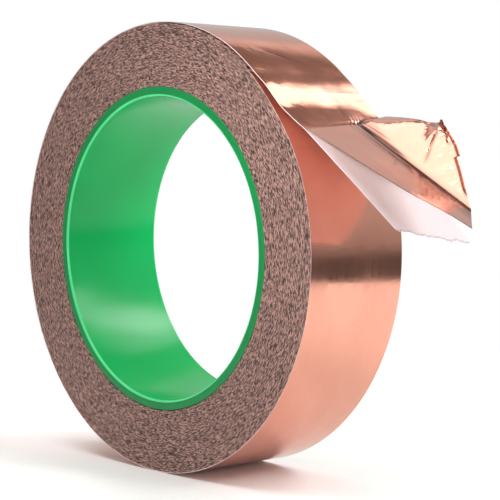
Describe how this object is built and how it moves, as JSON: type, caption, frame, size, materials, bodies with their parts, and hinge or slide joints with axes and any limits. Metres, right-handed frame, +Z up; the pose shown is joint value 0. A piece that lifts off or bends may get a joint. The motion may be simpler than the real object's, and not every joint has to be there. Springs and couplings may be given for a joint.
{
  "type": "copper foil tape roll",
  "caption": "Roll of adhesive copper foil tape on a plastic core, its free end lifted and the foil peeled back from a torn paper liner.",
  "frame": {"origin": "centre of the core's bore, halfway across the tape", "axes": "+Y along the roll's axis, +Z up as the roll stands on its rim, +X towards the side that the free end leaves"},
  "size_m": [0.1617, 0.0303, 0.1139],
  "materials": {
    "copper": "polished",
    "adhesive": "satin",
    "liner": "matte",
    "wound_edge": "matte",
    "core": "satin",
    "tab": "matte"
  },
  "bodies": {
    "roll": {"core": "core", "starter_tab": "tab", "wound_turns": "wound_edge", "last_turn_liner": "liner", "last_turn_adhesive": "adhesive", "last_turn_foil": "copper"},
    "lifted_tape": {"lifted_foil": "copper", "lifted_adhesive": "adhesive", "lifted_liner": "liner"},
    "foil_end": {"peeled_foil": "copper", "peeled_adhesive": "adhesive"},
    "liner_end": {"peeled_liner": "liner"}
  },
  "joints": [
    {"name": "tape_lift", "type": "hinge", "parent": "roll", "child": "lifted_tape", "pos_m": [0.03664, 0, 0.04367], "axis": [0, -1, 0], "range_deg": [0, 90]},
    {"name": "foil_peel", "type": "hinge", "parent": "lifted_tape", "child": "foil_end", "pos_m": [0.05266, 0, 0.03137], "axis": [0.133, -0.9859, -0.102], "range_deg": [-8, 70]},
    {"name": "liner_bend", "type": "hinge", "parent": "lifted_tape", "child": "liner_end", "pos_m": [0.0526, 0, 0.03128], "axis": [0.133, -0.9859, -0.102], "range_deg": [-27, 4]}
  ]
}
